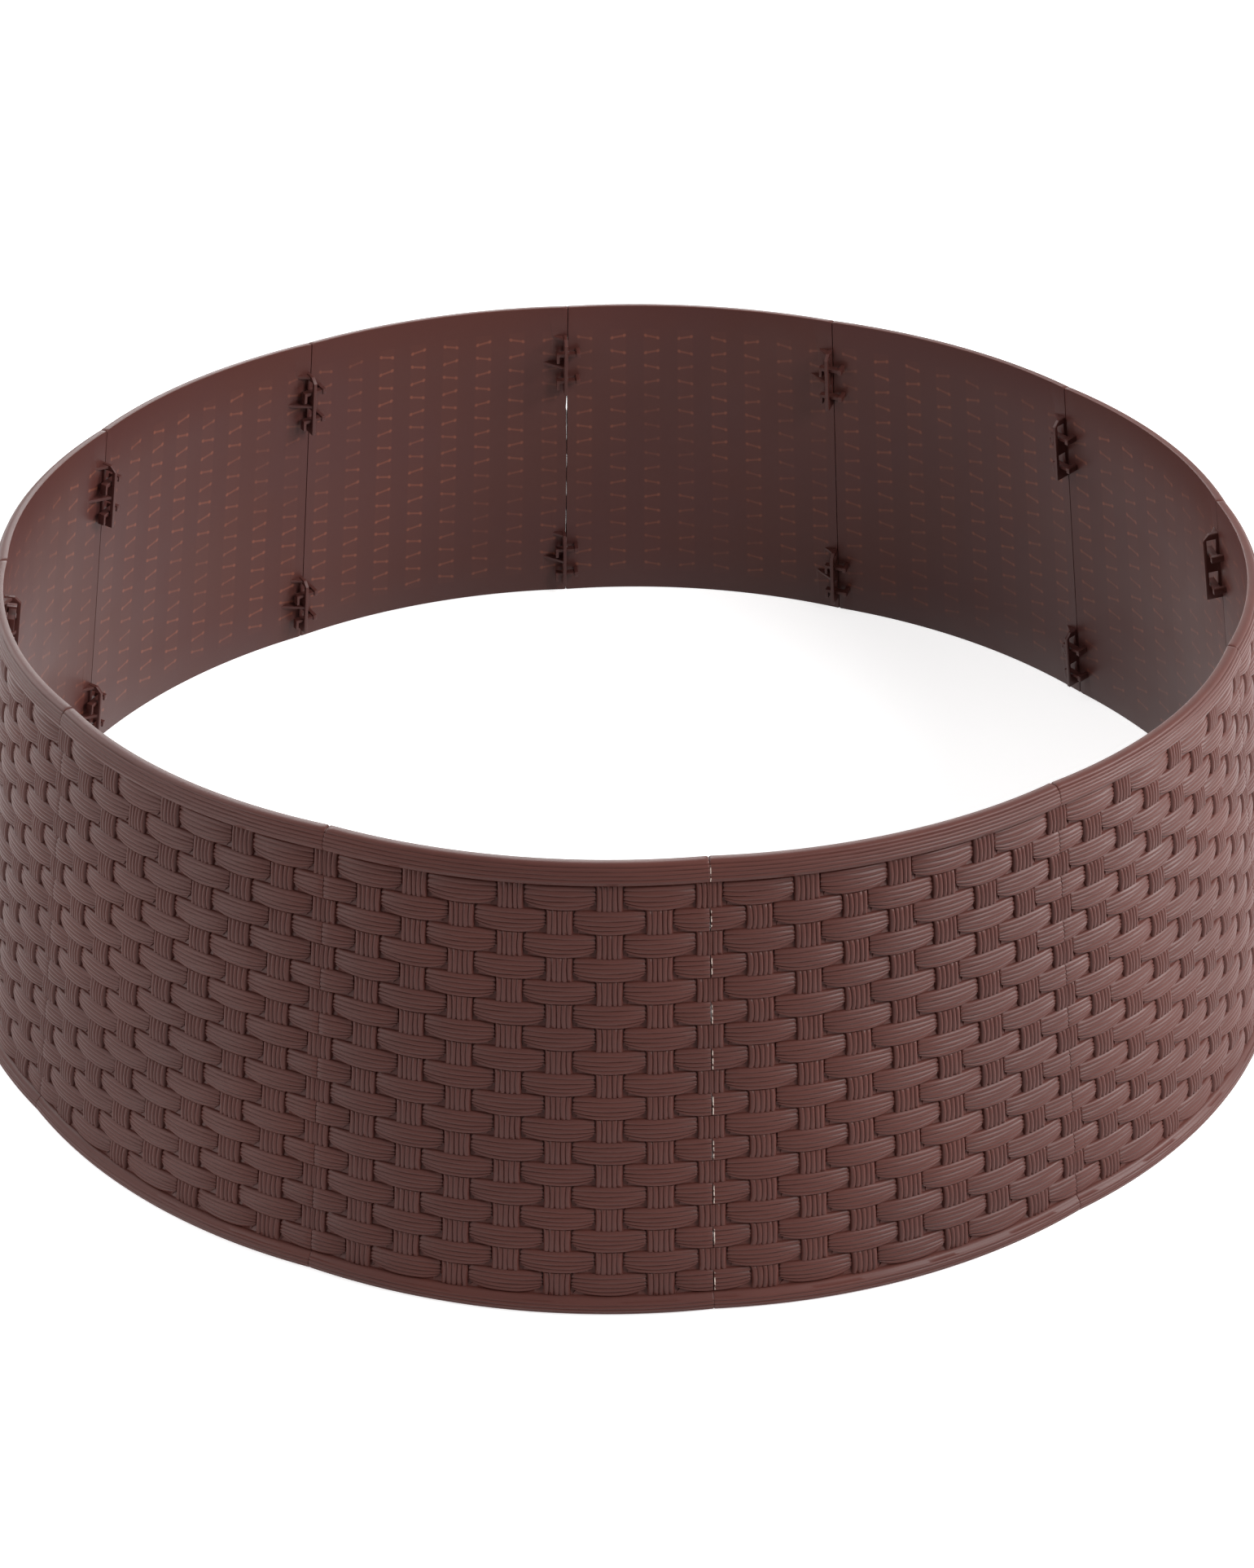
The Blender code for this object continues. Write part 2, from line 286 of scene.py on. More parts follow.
class WeaveSettings(PropertyGroup):
    """Relief of the woven face, measured outwards from the smooth inner face."""

    crest: metres("Crest", "Weaver over its stake", 0.0055)
    dive: metres("Dive", "Fall of a weaver from its stake to its end", 0.0020)
    crown: metres("Crown", "Fall of a weaver from its middle to its edges", 0.0009)
    fill: amount("Fill", "Half width of a weaver at its crest, in rows", 0.494)
    narrowing: factor("Narrowing", "Share of its width that a weaver loses at its end", 0.3)
    reed: metres("Reed", "Depth of the grooves between a weaver's reeds", 0.0007)
    drift: amount("Drift", "How far reeds wander sideways, in reeds", 0.08)
    end_fall: metres("End fall", "Rounding of a weaver's cut end", 0.0004)
    end_lift: metres("End lift", "Rise of the pits' floor before a weaver's end", 0.0014)
    stake: metres("Stake", "Face of the upright stakes", 0.0048)
    stake_reed: metres("Stake reed", "Depth of the grooves between a stake's reeds", 0.0008)
    stake_crown: metres("Stake crown", "Fall of a stake from its middle to its sides", 0.0005)
    bulge: metres("Bulge", "Swell of a stake between two weavers", 0.0004)
    waist: factor("Waist", "Share of its width that a stake loses half way", 0.07)
    groove: metres("Groove", "Floor of the grooves between rows", 0.0024)
    recess: metres("Recess", "Floor of the pits beside the stakes", 0.0012)
    end_round: metres("End round", "Rounding of the face at a seam", 0.0002)


class SeamSettings(PropertyGroup):
    """Half gaps at the panels' ends."""

    shut: metres("Shut", "Where stakes and rims meet", 0.00002)
    crossed: metres("Crossed", "Where weavers cross a seam", 0.00012)
    opening: metres("Opening", "Where weavers cross the opening seam", 0.0005)
    rear: metres("Rear", "Where weavers cross the loose seam at the back", 0.00085)
    inner: metres("Inner", "Along the smooth inner face", 0.0003)


class RimSettings(PropertyGroup):
    """Reeded rims along the top and the bottom edge."""

    pitch: metres("Pitch", "Width of a rim's reeds", 0.00213)
    reed: metres("Reed", "Depth of the grooves between reeds", 0.00055)
    drift: metres("Drift", "How far a rim's reeds wander sideways", 0.00008)
    end_round: metres("End round", "Rounding of a rim's corners at a seam", 0.0011)
    face_round: metres("Face round", "Rounding of a rim's face at a seam", 0.0003)


class ClipSettings(PropertyGroup):
    """Keeper plates and hooks inside."""

    edge: metres("Edge", "Radius along the clips' edges", 0.00035)


class FinishSettings(PropertyGroup):
    """The moulded plastic."""

    colour: tint("Colour", "Main brown of the plastic", (0.076, 0.0244, 0.0196))
    inside: tint("Inside", "Cooler brown of the smooth inside", (0.073, 0.0247, 0.0222))
    warm: tint("Warm", "Redder brown that drifts through the main one", (0.087, 0.0270, 0.0210))
    # Painted shade in the grooves between reeds, and the colour of the fine streaks along them
    groove: tint("Groove", "Shaded brown between reeds", (0.030, 0.0095, 0.0075))
    speck: tint("Speck", "Paler specks in the plastic", (0.130, 0.055, 0.045))
    # Painted light that shines through the wall's thin spots, seen from inside
    mark: tint("Mark", "Thin spots of the wall, seen from inside", (0.200, 0.066, 0.042))
    # Painted light: a pale broken line along the opening seam's edge
    painted_seam_light: tint("Worn", "Pale worn edge at the opening seam", (0.80, 0.66, 0.58))
    roughness: factor("Roughness", "Roughness of the satin skin", 0.40)
    gloss: factor("Gloss", "Specular level of the satin skin", 0.2)
    grain: metres("Grain", "Height of the skin's fine grain", 0.00004)
    fibre: metres("Fibre", "Height of the fine streaks along the reeds", 0.00002)


class StageSettings(PropertyGroup):
    """Floor, light and camera."""

    floor: tint("Floor", "Colour of the floor", (0.80, 0.80, 0.80))
    glow: amount("Glow", "White that the floor adds where it is seen directly", 0.75)
    surround: amount("Surround", "Strength of the white surroundings", 0.22)
    key: watts("Key", "Power of the soft key light on the right", 41.0)
    front: watts("Front", "Power of the soft light at the front right", 32.0)
    rear_left: watts("Rear left", "Power of the soft light behind on the left", 25.0)
    rear: watts("Rear", "Power of the soft light behind", 24.8)
    left: watts("Left", "Power of the soft light on the left", 8.6)
    low_left: watts("Low left", "Power of the low soft light on the left", 8.0)
    lens: FloatProperty(name="Lens", description="Focal length of the camera",
                        default=62.88, subtype="DISTANCE_CAMERA")


def wander(along, line, row):
    """A slow, repeatable drift between -1 and 1, so that no two reeds run quite alike."""
    slow, quick = [sin(wave[0] * along + wave[1] * line + wave[2] * row)
                   for wave in (SLOW_WAVE, QUICK_WAVE)]
    return (slow + QUICK_SHARE * quick) / (1 + QUICK_SHARE)


def end_gap(z, open_gap, shut_gap):
    """Half gap at a seam by height: open where a weaver crosses the seam, shut at stakes and rims."""
    level = (z - BOTTOM_RIM_HEIGHT) / ROW
    whole = np.floor(np.clip(level, 0, WEAVER_ROWS - ROW_MARGIN))
    weaver = (whole % 2 == 0) & (level > 0) & (level < WEAVER_ROWS)
    ramp = np.clip(GAP_RAMP / 2 - GAP_RAMP * np.abs(level - whole - 0.5), 0, 1)
    return shut_gap + (open_gap - shut_gap) * np.where(weaver, ramp, 0)


def wall_points(pitch, z, offset, first_gap, last_gap):
    """Points of the first panel from places on the unrolled wall, all as arrays."""
    corner = BOTTOM_RADIUS + (TOP_RADIUS - BOTTOM_RADIUS) * z / HEIGHT
    outer_arc = ARC_SHARE * corner
    sine, cosine = sin(HALF_ANGLE), cos(HALF_ANGLE)
    centre = corner * cosine - np.sqrt(outer_arc**2 - (corner * sine)**2)
    radius = outer_arc - RIM_THICKNESS + offset
    first = HALF_ANGLE + np.arcsin((centre * sine - first_gap) / radius)
    last = HALF_ANGLE + np.arcsin((centre * sine - last_gap) / radius)
    turn = (first + last) * pitch / STAKE_PITCHES - first
    outward = centre + radius * np.cos(turn)
    along = radius * np.sin(turn)
    return np.stack((sine * outward + cosine * along, sine * along - cosine * outward, z), axis=1)


class WallNet:
    """Faces laid out on the unrolled wall. Points are (pitch, height, offset) and weld where they meet."""

    def __init__(self):
        self.index = {}
        self.points = []
        self.faces = []
        self.reeds = []
        self.kinds = []

    def corner(self, point):
        """The number of the point at a place; a place used twice gives one point."""
        key = tuple(round(value * WELD_STEPS) for value in point[:3])
        if key not in self.index:
            self.index[key] = len(self.points)
            self.points.append(point[:3])
        return self.index[key]

    def face(self, points, kind=""):
        """Add one face; points carry their place across the reeds as a fourth number."""
        corners = [self.corner(point) for point in points]
        if len(set(corners)) < len(corners):
            return
        self.faces.append(corners)
        self.reeds.append([point[3] for point in points])
        self.kinds.append(kind)

    def patch(self, lines, kind=""):
        """Fill a grid of lines that all have as many points."""
        for near, far in zip(lines, lines[1:]):
            for step in range(len(near) - 1):
                self.face((near[step], near[step + 1], far[step + 1], far[step]), kind)

    def stitch(self, near, far, axis):
        """Join two lines with triangles, stepping along whichever lags behind on the axis."""
        sign = 1 if far[-1][axis] >= far[0][axis] else -1
        here, there = 0, 0
        while here < len(near) - 1 or there < len(far) - 1:
            near_next = near[here + 1][axis] * sign if here < len(near) - 1 else inf
            far_next = far[there + 1][axis] * sign if there < len(far) - 1 else inf
            if near_next <= far_next:
                self.face((near[here], near[here + 1], far[there]))
                here += 1
            else:
                self.face((near[here], far[there + 1], far[there]))
                there += 1


def reed_lines(count):
    """Places of the lines across a band of reeds, counted in reeds, with their share of full height."""
    lines = [(reed + part, share) for reed in range(count) for part, share in REED_PROFILE]
    return lines + [(float(count), 0.0)]


def end_drop(pitch, radius):
    """How far the surface falls away beside a seam, for a rounding of that radius."""
    distance = min(pitch, STAKE_PITCHES - pitch) * PITCH
    if distance >= radius:
        return 0.0
    return radius * (1 - sqrt(1 - (1 - distance / radius)**2))


def end_columns(radius):
    """Columns beside a seam that carry its rounding, in pitches."""
    return [share * radius / PITCH for share in END_ROUND_SHARES]


def row_centre(row):
    """Height of a row's middle; rows count down from the top."""
    return BOTTOM_RIM_HEIGHT + (WEAVER_ROWS - row + 0.5) * ROW


def passes_over(row, stake):
    """Whether the weaver of a row passes over a stake. In the first row the seams show their stakes."""
    return (row + stake) % 2 == 0


def stretch(row, share):
    """How much higher a point of the first row lies, which reaches up to the slim top rim."""
    return FIRST_ROW_STRETCH * max(share, 0.0) if row == 1 else 0.0


def weaver_point(weave, row, own, pitch, reed, share):
    """A point of a weaver: own is the stake that it passes over."""
    away = abs(pitch - own)
    free = 0.0 if reed in (0, FACE_REEDS) else 1.0
    across = 1 - 2 * (reed + free * weave.drift * wander(pitch, reed, row)) / FACE_REEDS
    closing = 1 - weave.narrowing * (1 - END_SKEW * across) * (away / WEAVER_END)**END_TAPER
    level = weave.crest - weave.dive * (away / WEAVER_END)**DIVE_CURVE
    level -= weave.crown * (1 - sqrt(1 - (1 - CROWN_EDGE) * across**2)) / (1 - sqrt(CROWN_EDGE))
    uneven = 1 + WEAVER_UNEVEN * wander(pitch, reed + DEPTH_LINE, row + DEPTH_ROW)
    level -= weave.reed * (1 - share) * uneven
    level -= end_drop(pitch, weave.end_round)
    height = row_centre(row) + across * weave.fill * closing * ROW + stretch(row, across)
    return (pitch, height, level, reed)


def stake_point(weave, row, own, reed, share, level_share):
    """A point of a stake's face, between the weavers above and below it."""
    height = row_centre(row) + level_share * (1 - weave.fill - STAKE_MARGIN) * ROW
    height += stretch(row, level_share)
    free = 0.0 if reed in (0, FACE_REEDS) or own in (0, STAKE_PITCHES) else 1.0
    across = 2 * (reed + free * weave.drift * wander(height / PITCH, reed, own)) / FACE_REEDS - 1
    waist = 1 - weave.waist * (1 - level_share**2)
    pitch = own + across * STAKE_HALF * waist
    level = weave.stake + weave.bulge * (1 - 2 * level_share**2)
    level -= weave.stake_crown * across**4
    uneven = 1 + STAKE_UNEVEN * wander(height / PITCH, reed + DEPTH_LINE, own + DEPTH_ROW)
    level -= weave.stake_reed * (1 - share) * uneven
    level -= end_drop(pitch, weave.end_round)
    return (pitch, height, level, reed)


def over_columns(stake, weave):
    """Columns across a weaver over its stake, cut off at the seams."""
    inner = [stake + column for column in OVER_COLUMNS]
    ends = end_columns(weave.end_round)
    if stake == 0:
        return ends + [column for column in inner if column > SEAM_COLUMN_MARGIN]
    if stake == STAKE_PITCHES:
        kept = [column for column in inner if column < STAKE_PITCHES - SEAM_COLUMN_MARGIN]
        return kept + [STAKE_PITCHES - column for column in reversed(ends)]
    return inner


def stake_reeds(stake, weave):
    """Reed lines across a stake, cut off at the seams, as (reed, share of height)."""
    lines = reed_lines(FACE_REEDS)
    middle = FACE_REEDS / 2
    ends = [column * middle / STAKE_HALF for column in end_columns(weave.end_round)]
    if stake == 0:
        kept = [line for line in lines if line[0] > middle + SEAM_REED_MARGIN]
        return [(middle + end, 1.0) for end in ends] + kept
    if stake == STAKE_PITCHES:
        kept = [line for line in lines if line[0] < middle - SEAM_REED_MARGIN]
        return kept + [(middle - end, 1.0) for end in reversed(ends)]
    return lines


def add_crossing(net, weave, row, stake):
    """The weaver over a stake, or the stake between its weavers. Returns its lines from top to bottom."""
    if passes_over(row, stake):
        columns = over_columns(stake, weave)
        lines = [[weaver_point(weave, row, stake, column, reed, share) for column in columns]
                 for reed, share in reed_lines(FACE_REEDS)]
        net.patch(lines)
    else:
        reeds = stake_reeds(stake, weave)
        lines = [[stake_point(weave, row, stake, reed, share, level) for reed, share in reeds]
                 for level in STAKE_LEVELS]
        net.patch(lines, "stake")
    return lines


def weaver_end(weave, row, own, side, reed, share):
    """One line of a weaver from its own stake to its end, down into the pit and on to the next stake."""
    across = 1 - 2 * reed / FACE_REEDS
    corner = END_CORNER * (1 - END_SKEW * across) * abs(across)**3
    end = WEAVER_END - corner - END_REED * (1 - share)
    aways = [BAY_START + (end - BAY_START) * part for part in BAY_SHARES]
    line = [weaver_point(weave, row, own, own + side * away, reed, share) for away in aways]
    height, level = line[-1][1], line[-1][2]
    floor = weave.recess + weave.end_lift * (1 - across**2)**2
    line.append((own + side * (end + END_STEP), height, level - weave.end_fall, reed))
    line.append((own + side * (end + 2 * END_STEP), height, floor, FLAT))
    line.append((own + side * (1 - BAY_START), height, floor, FLAT))
    return line if side > 0 else line[::-1]


def add_bay(net, weave, row, stake):
    """The stretch of weaver between a stake and the next one. Returns its lines from top to bottom."""
    own, side = (stake, 1) if passes_over(row, stake) else (stake + 1, -1)
    lines = [weaver_end(weave, row, own, side, reed, share) for reed, share in reed_lines(FACE_REEDS)]
    net.patch(lines)
    return lines


def groove_line(weave, edge, sign):
    """A line along the floor of the groove between two rows, close to a weaver's edge."""
    return [(pitch, height + sign * GROOVE_STEP, max(weave.recess, min(weave.groove, offset)), FLAT)
            for pitch, height, offset, _ in edge]


def side_column(lines, last):
    """The first or last points of lines that run from top to bottom."""
    return [line[-1 if last else 0] for line in lines]


def add_flank(net, crossings, stretches, floors, row, stake, last):
    """The side of a stake, down to the pits beside it."""
    bay = stake if last else stake - 1
    if not 0 <= bay < STAKE_PITCHES:
        return
    flank = side_column(crossings[row, stake], last)
    beside = side_column(stretches[row, bay], not last)
    if row > 1:
        corner = side_column([crossings[row - 1, stake][-1]], last)
        flank = corner + flank
        beside = corner + side_column(floors[row - 1, bay], not last) + beside
    if row < WEAVER_ROWS:
        corner = side_column([crossings[row + 1, stake][0]], last)
        flank = flank + corner
        beside = beside + side_column(floors[row, bay], not last) + corner
    net.stitch(flank, beside, 1)


def face_edge(crossings, stretches, row, end):
    """The upper or lower edge of a row, from seam to seam."""
    edge = []
    for stake in range(STAKE_PITCHES + 1):
        pieces = [crossings[row, stake][end]]
        if stake < STAKE_PITCHES:
            pieces.append(stretches[row, stake][end])
        for line in pieces:
            edge += line if not edge or edge[-1][:3] != line[0][:3] else line[1:]
    return edge


def add_weave(net, weave):
    """The whole woven face. Returns its top and bottom edge as lines of points."""
    stakes = range(STAKE_PITCHES + 1)
    bays = range(STAKE_PITCHES)
    crossings = {}
    stretches = {}
    floors = {}
    for row in range(1, WEAVER_ROWS + 1):
        for stake in stakes:
            crossings[row, stake] = add_crossing(net, weave, row, stake)
        for bay in bays:
            stretches[row, bay] = add_bay(net, weave, row, bay)
    for row in range(1, WEAVER_ROWS):
        for bay in bays:
            upper, lower = stretches[row, bay][-1], stretches[row + 1, bay][0]
            high, low = groove_line(weave, upper, -1), groove_line(weave, lower, 1)
            net.patch([upper, high])
            net.stitch(high, low, 0)
            net.patch([low, lower])
            floors[row, bay] = [high, low]
        for stake in stakes:
            net.stitch(crossings[row, stake][-1], crossings[row + 1, stake][0], 0)
    for row in range(1, WEAVER_ROWS + 1):
        for stake in stakes:
            if not passes_over(row, stake):
                for last in (False, True):
                    add_flank(net, crossings, stretches, floors, row, stake, last)
    return face_edge(crossings, stretches, 1, 0), face_edge(crossings, stretches, WEAVER_ROWS, -1)


def rim_outline(section):
    """A rim's section without reeds: lengths along it, offsets, heights and normals, as arrays."""
    turn = np.linspace(-pi / 2, pi / 2, SECTION_SAMPLES)
    weave_side = turn < 0
    power = 2 / np.where(weave_side, section.foot_fullness, section.edge_fullness)
    side = np.abs(np.cos(turn))**power
    rise = np.abs(np.sin(turn))**power
    inner = np.where(weave_side, section.foot, section.ledge)
    out = inner + (section.proud - inner) * side
    body = section.height - section.undercut
    up = section.undercut + body * np.where(weave_side, section.swell * (1 - rise),
                                            section.swell + (1 - section.swell) * rise)
    step_out, step_up = np.gradient(out), np.gradient(up)
    run = np.hypot(step_out, step_up)
    length = np.concatenate(([0.0], np.cumsum(np.hypot(np.diff(out), np.diff(up)))))
    return length, out, up, step_up / run, -step_out / run


def rim_places(rim, section, total):
    """Lines along a rim as (length from the weave, share of full height, place counted in reeds)."""
    places = [(section.plain * part, 1.0, FLAT) for part in PLAIN_SHARES]
    for reed, share in reed_lines(section.reeds):
        places.append((section.plain + reed * rim.pitch, share, reed))
    reeded = section.plain + section.reeds * rim.pitch
    places.append((reeded + RUN_OUT * rim.pitch, RUN_OUT_SHARE, FLAT))
    places += [(reeded + (total - reeded) * part, 1.0, FLAT) for part in EDGE_SHARES]
    return places


def rim_columns(rim):
    """Columns along a rim, in pitches, closer together beside the stakes and the seams."""
    ends = end_columns(rim.end_round)
    middle = [stake + part for stake in range(STAKE_PITCHES) for part in RIM_COLUMNS]
    middle = [column for column in middle if 2 * ends[-1] < column < STAKE_PITCHES - 2 * ends[-1]]
    return ends + middle + [STAKE_PITCHES - end for end in reversed(ends)]


def groove_floor(section, weave, column, row):
    """Floor of the groove between the weave and a rim: a stake that shows there fills it."""
    stake = round(column)
    shows = not passes_over(row, stake) and abs(column - stake) <= STAKE_HALF
    return weave.stake - weave.stake_reed if shows else section.floor


def add_rim(net, rim, weave, section, top, weave_edge):
    """A rim with its shadow groove and lip. Returns its line at the inner face."""
    columns = rim_columns(rim)
    row = 1 if top else WEAVER_ROWS
    sign = 1 if top else -1
    free = HEIGHT if top else 0.0
    foot = free - sign * section.height
    floors = [groove_floor(section, weave, column, row) for column in columns]
    lines = []
    for part in UNDERCUT_SHARES:
        height = foot + sign * section.undercut * part
        lines.append([(column, height, floor, FLAT) for column, floor in zip(columns, floors)])
    length, out, up, normal_out, normal_up = rim_outline(section)
    for run, share, reed in rim_places(rim, section, length[-1]):
        line = []
        loose = 1.0 if section.plain <= run < length[-1] else 0.0
        corner = max(0.0, 2 * run / length[-1] - 1)**2
        for column in columns:
            waves = wander(RIM_DRIFT_SCALES[0] * column, RIM_DRIFT_SCALES[1] * run / rim.pitch, row)
            here = min(max(run + loose * rim.drift * waves, 0.0), length[-1])
            uneven = 1 + RIM_UNEVEN * wander(column, run / rim.pitch, row + RIM_DEPTH_ROW)
            depth = rim.reed * (1 - share) * uneven
            depth += end_drop(column, rim.face_round + (rim.end_round - rim.face_round) * corner)
            offset = np.interp(here, length, out) - np.interp(here, length, normal_out) * depth
            height = np.interp(here, length, up) - np.interp(here, length, normal_up) * depth
            line.append((column, foot + sign * float(height), float(offset), reed))
        lines.append(line)
    for inset, below in LIP_SHARES:
        line = []
        for column in columns:
            height = free - sign * (below * section.lip + end_drop(column, rim.end_round))
            line.append((column, height, inset * section.lip, FLAT))
        lines.append(line)
    net.patch(lines)
    net.stitch(weave_edge, lines[0], 0)
    return lines[-1]


def add_inner_face(net, top_line, bottom_line):
    """The smooth inner face between the two lips."""
    lines = []
    for step in range(INNER_STEPS + 1):
        share = step / INNER_STEPS
        lines.append([(high[0], high[1] + (low[1] - high[1]) * share, 0.0, FLAT)
                      for high, low in zip(top_line, bottom_line)])
    net.patch(lines, "inside")


def mesh_from_net(net, seam, first_open):
    """The closed wall of the first panel as a bmesh, with its reed and wall maps."""
    places = np.array(net.points)
    inside = np.where(places[:, 2] < seam.inner, seam.inner, 0.0)
    first = np.maximum(end_gap(places[:, 1], first_open, seam.shut), inside)
    last = np.maximum(end_gap(places[:, 1], seam.crossed, seam.shut), inside)
    points = wall_points(places[:, 0], places[:, 1], places[:, 2], first, last)
    mesh = bmesh.new()
    corners = [mesh.verts.new(point) for point in points]
    reeds = mesh.loops.layers.uv.new(REED_MAP)
    wall = mesh.loops.layers.uv.new(WALL_MAP)
    for numbers, counts, kind in zip(net.faces, net.reeds, net.kinds):
        face = mesh.faces.new([corners[number] for number in numbers])
        face.material_index = 1 if kind == "inside" else 0
        for loop, number, count in zip(face.loops, numbers, counts):
            pitch, z, _ = net.points[number]
            loop[reeds].uv = (count, z / PITCH if kind == "stake" else pitch)
            loop[wall].uv = (pitch, (z - BOTTOM_RIM_HEIGHT) / ROW)
    edges = [edge for edge in mesh.edges if edge.is_boundary]
    made = bmesh.ops.holes_fill(mesh, edges=edges, sides=0)["faces"]
    for face in made:
        for loop in face.loops:
            loop[reeds].uv = (FLAT, 0)
            loop[wall].uv = (-1, -1)
    bmesh.ops.triangulate(mesh, faces=made)
    bmesh.ops.recalc_face_normals(mesh, faces=mesh.faces)
    return mesh


def clip_frame(seam_angle, top):
    """Axes of a clip at a seam: X along the wall, Y inwards from the wall, Z up the leaning wall."""
    outward = Vector((sin(seam_angle), -cos(seam_angle), 0))
    along = Vector((cos(seam_angle), sin(seam_angle), 0))
    up_wall = Vector((0, 0, cos(LEAN))) - outward * sin(LEAN)
    inward = up_wall.cross(along)
    corner = BOTTOM_RADIUS + (TOP_RADIUS - BOTTOM_RADIUS) * top / HEIGHT
    origin = outward * (corner - RIM_THICKNESS) + Vector((0, 0, top))
    return Matrix.Translation(origin) @ Matrix((along, inward, up_wall)).transposed().to_4x4()


def add_prism(mesh, turn, outline, depth):
    """A closed prism: a flat outline in a clip's axes, drawn out along the vector depth."""
    near = [mesh.verts.new(turn @ Vector(point)) for point in outline]
    far = [mesh.verts.new(turn @ (Vector(point) + Vector(depth))) for point in outline]
    sides = [mesh.faces.new(list(reversed(near))), mesh.faces.new(far)]
    for number, corner in enumerate(near):
        following = (number + 1) % len(near)
        sides.append(mesh.faces.new((corner, near[following], far[following], far[number])))
    bmesh.ops.recalc_face_normals(mesh, faces=sides)


def add_block(mesh, turn, low, high):
    """A closed box between two corners in a clip's axes."""
    outline = [(low[0], low[1], low[2]), (high[0], low[1], low[2]),
               (high[0], high[1], low[2]), (low[0], high[1], low[2])]
    add_prism(mesh, turn, outline, (0, 0, high[2] - low[2]))


def add_keeper(mesh, turn):
    """A keeper plate with the two gussets behind it."""
    near = PLATE_NEAR
    plate = [(near, -EMBED, 0), (near, PLATE_DEPTH - PLATE_CHAMFER, 0),
             (near, PLATE_DEPTH, -PLATE_CHAMFER), (near, PLATE_DEPTH, -PLATE_HEIGHT),
             (near, -EMBED, -PLATE_HEIGHT)]
    add_prism(mesh, turn, plate, (PLATE_THICKNESS, 0, 0))
    root = near + PLATE_THICKNESS - EMBED
    gussets = (
        (TOP_GUSSET_LENGTH, PLATE_DEPTH - PLATE_CHAMFER - GUSSET_SHORTFALL, GUSSET_SHORTFALL / 2),
        (MIDDLE_GUSSET_LENGTH, PLATE_DEPTH - GUSSET_SHORTFALL, MIDDLE_GUSSET_DROP),
    )
    for length, reach, drop in gussets:
        web = [(root, -EMBED, -drop), (root + length, -EMBED, -drop), (root, reach, -drop)]
        add_prism(mesh, turn, web, (0, 0, -GUSSET_THICKNESS))


def add_windows(mesh, turn, room_below):
    """Cutters for a keeper plate's two windows."""
    for sill in SILL_DROPS:
        low = (PLATE_NEAR - OVERRUN, WINDOW_FROM_WALL, -sill - room_below)
        high = (PLATE_NEAR + PLATE_THICKNESS + OVERRUN, WINDOW_FROM_WALL + WINDOW_DEPTH,
                WINDOW_HEIGHT - sill)
        add_block(mesh, turn, low, high)


def add_hooks(mesh, turn):
    """The two hooks that reach through the neighbour's windows and drop behind its plate."""
    wall_side = WINDOW_FROM_WALL + ARM_WIDTH_CLEARANCE
    room_side = WINDOW_FROM_WALL + WINDOW_DEPTH - ARM_WIDTH_CLEARANCE
    tongue_near = PLATE_NEAR + PLATE_THICKNESS + TONGUE_PLAY
    tongue_far = tongue_near + TONGUE_THICKNESS
    root = -ROOT_FROM_SEAM - ROOT_LENGTH / 2
    for sill in SILL_DROPS:
        under = SILL_CLEARANCE - sill
        over = under + ARM_THICKNESS
        arm = ((root, over), (tongue_far, over), (tongue_far, under - TONGUE_DROP),
               (tongue_near, under - TONGUE_DROP), (tongue_near, under), (root, under))
        add_prism(mesh, turn, [(x, wall_side, z) for x, z in arm], (0, room_side - wall_side, 0))
        low = (-ROOT_FROM_SEAM - ROOT_LENGTH, -EMBED, under - ROOT_LIP)
        high = (-ROOT_FROM_SEAM, room_side + ROOT_LIP, over + ROOT_LIP)
        add_block(mesh, turn, low, high)


def add_item(name, data):
    """A new object of the scene with that data."""
    item = bpy.data.objects.new(name, data)
    bpy.context.scene.collection.objects.link(item)
    return item


def place(name, mesh):
    """Put a bmesh into the scene as an object and free it."""
    data = bpy.data.meshes.new(name)
    mesh.to_mesh(data)
    mesh.free()
    return add_item(name, data)


def combine(body, tool, operation):
    """Add an exact Boolean of a tool object to a body object."""
    step = body.modifiers.new(operation.lower(), "BOOLEAN")
    step.operation = operation
    step.object = tool
    step.solver = "EXACT"
    step.use_self = True


def settle(item):
    """Apply an object's modifiers."""
    depsgraph = bpy.context.evaluated_depsgraph_get()
    data = bpy.data.meshes.new_from_object(item.evaluated_get(depsgraph))
    item.modifiers.clear()
    old = item.data
    item.data = data
    bpy.data.meshes.remove(old)


def discard(item):
    """Remove a helper object and its mesh."""
    data = item.data
    bpy.data.objects.remove(item, do_unlink=True)
    bpy.data.meshes.remove(data)


def make_fittings(room_below, edge):
    """Keeper plates with their windows, and hooks, with rounded edges, as one object."""
    clips = bmesh.new()
    windows = bmesh.new()
    for top in (HEIGHT - UPPER_CLIP_INSET, LOWER_CLIP_INSET + PLATE_HEIGHT * cos(LEAN)):
        add_keeper(clips, clip_frame(0, top))
        add_hooks(clips, clip_frame(PANEL_ANGLE, top))
        add_windows(windows, clip_frame(0, top), room_below)
    fittings = place("fittings", clips)
    cutters = place("windows", windows)
    combine(fittings, cutters, "DIFFERENCE")
    settle(fittings)
    discard(cutters)
    rounding = fittings.modifiers.new("rounding", "BEVEL")
    rounding.width = edge
    rounding.segments = 2
    rounding.limit_method = "ANGLE"
    rounding.angle_limit = radians(EDGE_ANGLE)
    settle(fittings)
    mesh = bmesh.new()
    mesh.from_mesh(fittings.data)
    reeds = mesh.loops.layers.uv.new(REED_MAP)
    wall = mesh.loops.layers.uv.new(WALL_MAP)
    for face in mesh.faces:
        face.material_index = 1
        for loop in face.loops:
            loop[reeds].uv = (FLAT, 0)
            loop[wall].uv = (-1, -1)
    mesh.to_mesh(fittings.data)
    mesh.free()
    return fittings


